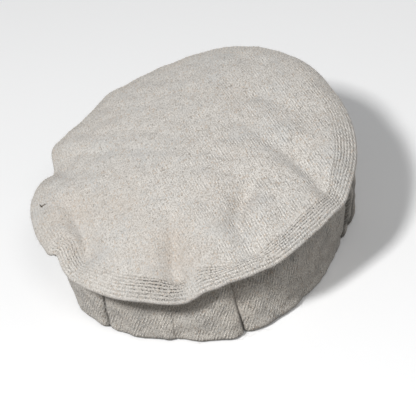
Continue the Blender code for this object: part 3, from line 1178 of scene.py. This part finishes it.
@dataclass(frozen=True)
class StrandFinish:
    """The look of loose fibres and thread: a little varied along and between strands."""

    name: str
    pale: tuple
    deep: tuple
    roughness: float = 0.8

    def material(self) -> bpy.types.Material:
        """Builds the strands' material."""
        values = {"Roughness": self.roughness, "Specular IOR Level": 0.25, "Sheen Weight": 0.2}
        look, make, shader = start_look(self.name, values)
        place = make.add("ShaderNodeTexCoord").outputs["Object"]
        varied = make.ramp(make.noise(place, 900.0, 2.0, 0.6), 0.32, 0.68)
        mixed = make.blend(varied, (*self.deep, 1.0), (*self.pale, 1.0))
        make.link(mixed, shader.inputs["Base Color"])
        return look


FIBRE = StrandFinish("loose_wool", (0.74, 0.70, 0.64), (0.50, 0.45, 0.39))
THREAD = StrandFinish("stitch_thread", (0.76, 0.715, 0.65), (0.50, 0.455, 0.40))
BURR = StrandFinish("burr_fibre", (0.16, 0.12, 0.08), (0.07, 0.05, 0.035))


@dataclass
class Crown:
    """The crown: a lined disc of wool, quilted round its rim.

    Its rings are named by how far they lie in from the edge: from the first one near the
    middle to the rim zone, then plain ones, and then four to each row of stitching.
    """

    shape: CrownShape
    columns: int = 360
    first_ring: float = 124.0
    inner_step: float = 1.9
    rim_zone: float = 20.0
    plain_from: float = 19.4
    plain_to: float = 16.2
    rings_to_a_row: int = 4
    last_ring: float = 2.1
    lip_turn: float = 22.5
    under_groove: float = 0.4

    def insides(self) -> tuple[np.ndarray, np.ndarray]:
        """Nominal distances in from the edge: those over the dome, and those of the rim."""
        dome = np.arange(self.first_ring, self.rim_zone + 0.5, -self.inner_step)
        plain = np.arange(self.plain_from, self.plain_to, -1.0)
        step = self.shape.row_spacing / self.rings_to_a_row
        rim = np.arange(self.shape.row_places()[-1] + step, self.last_ring, -step)
        return dome, np.concatenate((plain, rim))

    def spread_rings(self, nominal: np.ndarray, angle: np.ndarray) -> np.ndarray:
        """Distances in from the edge, drawn evenly to the middle inside the rim zone."""
        edge, nominal = self.shape.edge.at(angle)[None, :], nominal[:, None]
        reach = self.shape.nominal_edge
        share = (reach - nominal) / (reach - self.rim_zone)
        drawn = edge - (edge - self.rim_zone) * share
        return np.where(nominal > self.rim_zone, drawn, nominal + 0 * edge)

    def rings(self) -> tuple[np.ndarray, np.ndarray]:
        """The crown's rings, from its middle over the edge to the middle of its underside.

        Returns:
            The rings' places, and the painted shade of the stitching at each.
        """
        angle = 360.0 * np.arange(self.columns) / self.columns
        dome, rim = self.insides()
        inside = self.spread_rings(np.concatenate((dome, rim)), angle)
        around = np.broadcast_to(angle, inside.shape)
        top, _ = self.shape.top(around, inside)
        over = self.shape.painted_row_shade(around, inside)
        place, normal = self.shape.place(around[-1:], inside[-1:])
        turn = np.radians(angle)
        along = np.stack((-np.sin(turn), np.cos(turn), np.zeros_like(turn)), -1)[None]
        outward = unit(np.cross(along, normal))
        half = self.shape.rim_thick / 2
        lean = np.radians(np.arange(self.lip_turn, 160.0, self.lip_turn))[:, None, None]
        lip = place + (normal * np.cos(lean) + outward * np.sin(lean)) * half
        below = self.spread_rings(np.concatenate((dome[::2], rim[::2]))[::-1], angle)
        around = np.broadcast_to(angle, below.shape)
        place, normal = self.shape.place(around, below)
        under = self.under_groove * self.shape.groove_depth(around, below)
        lower = place - normal * (self.shape.half_thickness(below) - under)[..., None]
        # Painted shade along the rows on top and in the drawn-in rows underneath, none on the lip.
        shade = np.concatenate((over, np.zeros(lip.shape[:2]), under / self.shape.groove))
        return np.concatenate((top, lip, lower)), shade

    def build(self, look: bpy.types.Material) -> bpy.types.Object:
        """Extrudes the rings outwards and round the edge, and closes both middles."""
        rings, shade = self.rings()
        shape = bmesh.new()
        bmesh.ops.create_circle(shape, cap_ends=False, segments=self.columns, radius=1.0)
        extrude_rings(shape, rings)
        middles = bmesh.ops.poke(shape, faces=close_ends(shape))["verts"]
        middles.sort(key=lambda vert: vert.co.z)
        zero = np.zeros(1)
        height = float(self.shape.height(zero, zero)[0])
        for vert, side in zip(middles, (-1, 1)):
            vert.co = (0.0, 0.0, height + side * self.shape.thick / 2)
        piece = finish_piece(shape, "crown_cloth", look)
        give_painted_shade(piece, shade)
        return piece


@dataclass
class RimStitches:
    """Seven rows of small stitches round the crown's rim.

    Each row of the profile is a step along a stitch: its place as a share of half the
    stitch's length, its lift off the wool, and its thickness as a share of the radius.
    """

    shape: CrownShape
    length: float = 2.1
    pitch: float = 3.0
    radius: float = 0.2
    sides: int = 5
    profile: tuple = (
        (-1.0, -0.25, 0.45),
        (-0.55, 0.12, 0.9),
        (0.0, 0.2, 1.0),
        (0.55, 0.12, 0.9),
        (1.0, -0.25, 0.45),
    )

    def build(self, look: bpy.types.Material) -> bpy.types.Object:
        """Lays a curved stitch at each place along each row, a little unevenly."""
        rng = np.random.default_rng(12)
        angles, insides = [], []
        for row in self.shape.row_places():
            around = 2 * math.pi * (self.shape.nominal_edge - row)
            count = int(around / self.pitch)
            start = rng.random()
            angles.append(360.0 * (np.arange(count) + start + rng.normal(0, 0.06, count)) / count)
            insides.append(np.full(count, row) + rng.normal(0, 0.08, count))
        angle, inside = np.concatenate(angles), np.concatenate(insides)
        reach = np.degrees(self.length / 2 / (self.shape.edge.at(angle) - inside))
        lines = []
        for share, lift, _ in self.profile:
            place, normal = self.shape.top(angle + share * reach, inside)
            lines.append(place + normal * lift)
        radii = self.radius * np.array([thickness for _, _, thickness in self.profile])
        return finish_piece(strands(np.array(lines), radii, self.sides), "rim_stitches", look)


@dataclass
class RolledSide:
    """The side: one length of cloth, from the seam under the rim to the hem in the roll.

    The foot and top points are the numbers, in the side's path, of the point where the cloth
    turns out at the floor and of the one where it turns in again under the rim.
    """

    shape: SideShape
    arc_radius: float = 118.0
    foot_point: int = 9
    top_point: int = 16
    hem_round: float = 0.35

    def rings(self) -> tuple[np.ndarray, np.ndarray, np.ndarray, np.ndarray]:
        """The side's rings, its columns' angles, and two values at each of the rings' places.

        Returns:
            The rings, the angles, the way along the cloth, and the painted shade in the creases.
        """
        angle = self.shape.columns()
        path = self.shape.path(angle)
        points = np.stack([np.stack((radius, height), -1) for radius, height, _ in path])
        line = curve_through(points, [steps for _, _, steps in path])
        arc = np.radians(angle) * self.arc_radius
        way = np.cumsum(np.linalg.norm(np.diff(line, axis=0, prepend=line[:1]), axis=-1), axis=0)
        given = np.cumsum([0] + [steps for _, _, steps in path])
        top = given[self.top_point]
        way = way - way[given[self.foot_point]]
        outer_turn = smooth(-4.0, 6.0, way) * (1 - smooth(0.0, 14.0, way - way[top]))
        soft = self.shape.ripple.at(arc + 0 * way, way) * self.shape.wave.at(angle)
        soft += self.shape.crumple.at(arc + 0 * way, way)
        line[..., 0] += outer_turn * soft
        rise = np.clip(line[..., 1] / line[top, :, 1], 0.0, 1.0)
        # Painted shade darkens the wool in the creases' valleys.
        dark = outer_turn * self.shape.painted_crease_shade(angle, rise)
        along = unit(np.gradient(line, axis=0))
        across = np.stack((-along[..., 1], along[..., 0]), -1) * self.shape.cloth / 2
        hem = line[-1] + along[-1] * self.shape.cloth * self.hem_round
        start = line[0] - along[0] * self.shape.cloth * self.hem_round
        outline = np.concatenate((start[None], line + across, hem[None], (line - across)[::-1]))
        outline[..., 1] = np.maximum(outline[..., 1], 0.0)
        way, dark = (
            np.concatenate((value[:1], value, value[-1:], value[::-1])) for value in (way, dark)
        )
        rings = round_places(outline[..., 0], angle, outline[..., 1])
        return rings, angle, way, dark

    def lay_cloth(self, piece: bpy.types.Object, angle: np.ndarray, way: np.ndarray) -> None:
        """Gives the piece a UV map in metres: round the hat, and along the cloth."""
        mesh = piece.data
        column, ring = cells_of(mesh)
        verts = np.zeros(len(mesh.loops), np.int32)
        mesh.loops.foreach_get("vertex_index", verts)
        column, ring = column[verts], ring[verts]
        starts, totals = np.zeros((2, len(mesh.polygons)), np.int32)
        mesh.polygons.foreach_get("loop_start", starts)
        mesh.polygons.foreach_get("loop_total", totals)
        highest = np.maximum.reduceat(column, starts)
        wraps = np.repeat(highest == len(angle) - 1, totals) & (column == 0)
        u = np.radians(angle[column] + 360.0 * wraps) * self.arc_radius * MM
        v = way[ring, column] * MM
        layer = mesh.uv_layers.new(name="cloth")
        layer.data.foreach_set("uv", np.stack((u, v), -1).ravel())

    def build(self, look: bpy.types.Material) -> bpy.types.Object:
        """Extrudes the cloth's outline ring by ring, back onto the first ring."""
        rings, angle, way, dark = self.rings()
        shape = bmesh.new()
        bmesh.ops.create_circle(shape, cap_ends=False, segments=len(angle), radius=1.0)
        extrude_rings(shape, np.concatenate((rings, rings[:1])))
        last = [vert for vert in shape.verts if vert.is_boundary]
        bmesh.ops.remove_doubles(shape, verts=last, dist=0.001)
        piece = finish_piece(shape, "rolled_side_cloth", look)
        self.lay_cloth(piece, angle, np.concatenate((way, way[:1])))
        give_painted_shade(piece, dark)
        return piece


@dataclass(frozen=True)
class Growth:
    """One kind of loose fibre: how many, how long, how upright, and where they are pulled."""

    count: int
    shortest: float
    longest: float
    upright: float
    pull: tuple = (0.0, 0.0, 0.0)


@dataclass
class LooseFibres:
    """Short fibres that stand out of the felted wool."""

    seed: int
    steps: int = 4
    width: float = 0.08
    dome: Growth = Growth(9000, 0.7, 2.4, 0.45)
    rim: Growth = Growth(10500, 0.6, 3.0, 0.8, (0.0, 0.0, -0.25))
    face: Growth = Growth(7000, 0.7, 2.6, 0.5)
    foot: Growth = Growth(3800, 1.0, 4.2, 0.8, (0.0, 0.0, -0.3))

    def grow(
        self, roots: np.ndarray, normals: np.ndarray, growth: Growth, rng: np.random.Generator
    ) -> np.ndarray:
        """Bent middle lines from given roots.

        Args:
            roots: Where each fibre starts.
            normals: The cloth's direction there.
            growth: The kind of fibre.
            rng: Random numbers.

        Returns:
            The lines, as (step, fibre, place).
        """
        count = len(roots)
        loose = rng.normal(size=(count, 3))
        loose = unit(loose - normals * np.sum(loose * normals, axis=-1, keepdims=True))
        lift = growth.upright * (0.4 + 0.9 * rng.random((count, 1)))
        heading = unit(normals * lift + loose * (1 - 0.5 * lift) + np.array(growth.pull))
        bend = rng.normal(0, 0.35, (count, 3))
        length = growth.shortest + (growth.longest - growth.shortest) * rng.random((count, 1)) ** 2
        shares = np.linspace(0.0, 1.0, self.steps)[:, None, None]
        lines = roots[None] + (heading * length)[None] * shares + (bend * length)[None] * shares**2
        lines = lines - normals[None] * 0.15
        lines[..., 2] = np.maximum(lines[..., 2], 0.12)
        return lines

    def scatter(
        self, rings: np.ndarray, low: int, high: int, count: int, rng: np.random.Generator
    ) -> tuple[np.ndarray, np.ndarray]:
        """Random places on a stretch of a cloth's rings, and the cloth's outward normals there."""
        ring = rng.integers(low, high, count)
        column = rng.integers(0, rings.shape[1], count)
        beside = (column + 1) % rings.shape[1]
        here = rings[ring, column]
        over, side = rings[ring + 1, column] - here, rings[ring, beside] - here
        roots = here + over * rng.random((count, 1)) + side * rng.random((count, 1))
        normals = unit(np.cross(side, over), 1e-9)
        outward = roots * (1.0, 1.0, 0.0)
        inward = np.sum(normals * outward, axis=-1, keepdims=True) < 0
        return roots, np.where(inward, -normals, normals)

    def finish(
        self, lines: list, rng: np.random.Generator, name: str, look: bpy.types.Material
    ) -> bpy.types.Object:
        """Makes one piece of all the fibres, which taper to their tips."""
        widths = self.width * np.linspace(1.0, 0.25, self.steps)
        return finish_piece(blades(np.concatenate(lines, axis=1), widths, rng), name, look)

    def on_crown(self, crown: Crown, look: bpy.types.Material) -> bpy.types.Object:
        """Felt on the dome, and longer fuzz along the rim's edge."""
        rng = np.random.default_rng(self.seed)
        edge = crown.shape.edge
        angle = 360.0 * rng.random(self.dome.count)
        radius = edge.at(angle) * np.sqrt(rng.random(self.dome.count))
        roots, normals = crown.shape.top(angle, edge.at(angle) - radius)
        lines = [self.grow(roots, normals, self.dome, rng)]
        rings, _ = crown.rings()
        last = sum(len(part) for part in crown.insides())
        roots, normals = self.scatter(rings, last - 3, last + 10, self.rim.count, rng)
        lines.append(self.grow(roots, normals, self.rim, rng))
        return self.finish(lines, rng, "crown_fibres", look)

    def on_side(self, side: RolledSide, look: bpy.types.Material) -> bpy.types.Object:
        """Felt on the band's face, and a ragged fringe of fibres along its foot."""
        rng = np.random.default_rng(self.seed + 1)
        rings, _, way, _ = side.rings()
        outer = np.median(way, axis=1)[: len(rings) // 2]
        low, high = (int(np.searchsorted(outer, reach)) for reach in (-3.0, 62.0))
        lines = []
        for growth, last in ((self.face, high), (self.foot, low + 4)):
            roots, normals = self.scatter(rings, low, last, growth.count, rng)
            lines.append(self.grow(roots, normals, growth, rng))
        return self.finish(lines, rng, "side_fibres", look)


@dataclass
class StrayHairs:
    """A few long curly hairs that have worked loose from the cloth.

    Each of the hairs is given as curl takes it: angle, height, length, away and seed.
    """

    shape: SideShape
    steps: int = 26
    radius: float = 0.075
    sides: int = 4
    hairs: tuple = (
        (121.5, 1.2, 9.0, -5.0, 1), (119.0, 0.8, 7.0, 4.0, 2), (124.0, 1.0, 8.0, 6.0, 3),
        (148.0, 5.0, 16.0, 7.0, 4), (150.0, 3.0, 13.0, -6.0, 5), (102.0, 1.0, 6.0, 2.0, 6),
        (233.0, 1.0, 8.0, -6.0, 7), (301.0, 1.2, 9.0, 5.0, 8), (14.0, 1.0, 8.0, 5.0, 9),
    )

    def curl(
        self, angle: float, height: float, length: float, away: float, seed: int
    ) -> np.ndarray:
        """One hair's line, from a place on the band outwards in loose curls.

        Args:
            angle: Where it leaves the band.
            height: How high that is.
            length: Its reach from root to tip.
            away: How far it turns round the hat on the way, in degrees.
            seed: Picks its curls.

        Returns:
            The places along it.
        """
        rng = np.random.default_rng(seed)
        share = np.linspace(0.0, 1.0, self.steps)
        foot = self.shape.foot.at(np.array([angle]))[0]
        out = foot - 2.2 + 0.45 * length * share + 1.3 * np.sin(share * 9 + rng.random() * 6)
        rise = height + 1.2 * np.sin(share * 7 + rng.random() * 6) - height * 0.8 * share
        return round_places(out, angle + away * share, np.maximum(rise, 0.15))

    def build(self, look: bpy.types.Material) -> bpy.types.Object:
        """Grows the hairs as thin tubes."""
        lines = np.stack([self.curl(*hair) for hair in self.hairs], axis=1)
        radii = self.radius * np.linspace(1.0, 0.5, self.steps)
        return finish_piece(strands(lines, radii, self.sides), "stray_hairs", look)


@dataclass
class Burr:
    """A small dark scrap of plant caught in the crown's felt.

    Each stalk is bent, and given by the (x, y) of its root, its bend and its tip. The profile
    is its thickness at each step, as a share of the radius.
    """

    shape: CrownShape
    stalks: tuple = (
        ((110.8, 48.2), (107.4, 52.2), (104.7, 49.6)),
        ((110.0, 48.9), (107.6, 51.5), (104.5, 50.2)),
        ((109.4, 50.2), (106.8, 52.4), (105.4, 49.0)),
        ((108.6, 49.8), (107.0, 51.9), (103.8, 49.2)),
    )
    profile: tuple = (0.4, 0.7, 1.0, 1.1, 1.0, 0.7, 0.4)
    radius: float = 0.17
    sides: int = 4
    lift: float = 0.3
    arch: float = 0.25

    def build(self, look: bpy.types.Material) -> bpy.types.Object:
        """Lays a few short bent stalks over each other on the crown."""
        steps = np.linspace(0.0, 2.0, len(self.profile))
        lifts = self.lift + self.arch * (1 - (steps - 1.0) ** 2)
        lines = []
        for stalk in self.stalks:
            x, y = (np.interp(steps, (0.0, 1.0, 2.0), side) for side in zip(*stalk))
            angle = np.degrees(np.arctan2(y, x))
            place, normal = self.shape.top(angle, self.shape.edge.at(angle) - np.hypot(x, y))
            lines.append(place + normal * lifts[:, None])
        radii = self.radius * np.array(self.profile)
        return finish_piece(strands(np.stack(lines, axis=1), radii, self.sides), "burr", look)


@dataclass(frozen=True)
class Lamp:
    """A square soft light. The turn is how far round the hat it stands from the camera."""

    name: str
    turn: float
    elevation: float
    size: float
    watts: float


@dataclass
class Studio:
    """A plain pale floor, three soft lights, a dim sky, and the camera.

    The key light stands above and to the left, and the two weak ones on the right.
    """

    azimuth: float = 207.0
    elevation: float = 38.5
    roll: float = -14.0
    distance: float = 1.5
    metres_per_pixel: float = 0.00078
    picture_pixels: int = 416
    sensor: float = 36.0
    target: tuple = (0.0046, -0.0115, 0.0197)
    lamp_distance: float = 2.0
    lamps: tuple = (
        Lamp("key", -43.0, 55.0, 0.28, 28.8),
        Lamp("second", 18.0, 54.0, 0.6, 4.6),
        Lamp("fill", 70.0, 12.0, 1.4, 5.6),
    )
    sky_colour: tuple = (0.96, 0.98, 1.0, 1.0)
    sky_strength: float = 0.17

    def toward(self, azimuth: float, elevation: float) -> Vector:
        """The direction from the hat to a place round it."""
        turn, rise = math.radians(azimuth), math.radians(elevation)
        return Vector(
            (math.sin(turn) * math.cos(rise), -math.cos(turn) * math.cos(rise), math.sin(rise))
        )

    def camera(self) -> None:
        """Places the camera at the picture's angle above the floor."""
        lens = bpy.data.cameras.new("camera")
        lens.sensor_width = self.sensor
        lens.lens = self.sensor * self.distance / self.metres_per_pixel / self.picture_pixels
        lens.clip_end = 50.0
        view = add_object("camera", lens)
        back = self.toward(self.azimuth, self.elevation)
        right = (-back).cross(Vector((0, 0, 1))).normalized()
        up = right.cross(-back)
        roll = math.radians(self.roll)
        side = math.cos(roll) * right + math.sin(roll) * up
        over = -math.sin(roll) * right + math.cos(roll) * up
        turned = Matrix((side, over, back)).transposed().to_4x4()
        turned.translation = Vector(self.target) + back * self.distance
        view.matrix_world = turned
        bpy.context.scene.camera = view

    def lights(self) -> None:
        """Sets the lamps round the hat, all facing it, under the sky."""
        for lamp in self.lamps:
            light = bpy.data.lights.new(lamp.name, "AREA")
            light.size = lamp.size
            light.energy = lamp.watts
            holder = add_object(lamp.name, light)
            direction = self.toward(self.azimuth + lamp.turn, lamp.elevation)
            holder.location = direction * self.lamp_distance
            holder.rotation_euler = direction.to_track_quat("Z", "Y").to_euler()
        world = bpy.data.worlds.new("sky")
        world.use_nodes = True
        sky = world.node_tree.nodes["Background"]
        sky.inputs["Color"].default_value = self.sky_colour
        sky.inputs["Strength"].default_value = self.sky_strength
        bpy.context.scene.world = world
        bpy.context.scene.view_settings.view_transform = "Standard"

    def floor(self) -> None:
        """Lays a wide pale floor under the hat, less pale for light that bounces off it."""
        values = {"Roughness": 0.9, "Emission Strength": 0.1}
        look, make, shader = start_look("pale_floor", values)
        seen = make.add("ShaderNodeLightPath").outputs["Is Camera Ray"]
        pale = make.blend(seen, (0.20, 0.19, 0.18, 1.0), (0.98, 0.98, 0.98, 1.0))
        make.link(pale, shader.inputs["Base Color"])
        glow = make.blend(seen, (0.0, 0.0, 0.0, 1.0), (1.0, 1.0, 1.0, 1.0))
        make.link(glow, shader.inputs["Emission Color"])
        shape = bmesh.new()
        bmesh.ops.create_grid(shape, x_segments=1, y_segments=1, size=12.0)
        mesh = bpy.data.meshes.new("floor")
        shape.to_mesh(mesh)
        shape.free()
        mesh.materials.append(look)
        ground = add_object("floor", mesh)


def main() -> None:
    """Builds the studio and the hat, and seats every piece on the part's frame."""
    logging.basicConfig(level=logging.INFO, format="%(message)s")
    studio = Studio()
    studio.camera()
    studio.lights()
    studio.floor()

    heather, twill = heather_group(), twill_group()
    fibre = FIBRE.material()
    crown_shape = CrownShape()
    side_shape = SideShape(crown_shape)
    crown = Crown(crown_shape)
    side = RolledSide(side_shape)
    loose = LooseFibres(seed=40)

    crown_cloth = crown.build(CROWN_WOOL.material(heather, twill))
    side_cloth = side.build(SIDE_WOOL.material(heather, twill))
    on_crown = [
        RimStitches(crown_shape).build(THREAD.material()),
        loose.on_crown(crown, fibre),
        Burr(crown_shape).build(BURR.material()),
    ]
    on_side = [
        loose.on_side(side, fibre),
        StrayHairs(side_shape).build(fibre),
    ]
    for piece in (crown_cloth, *on_crown):
        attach(piece, "root")
    for piece in (side_cloth, *on_side):
        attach(piece, "root")
    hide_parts("crown")
    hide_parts("rolled_side")
    for piece in (crown_cloth, *on_crown, side_cloth, *on_side):
        piece.data.calc_loop_triangles()
        log.info("%s: %d triangles", piece.name, len(piece.data.loop_triangles))


if __name__ == "__main__":
    main()
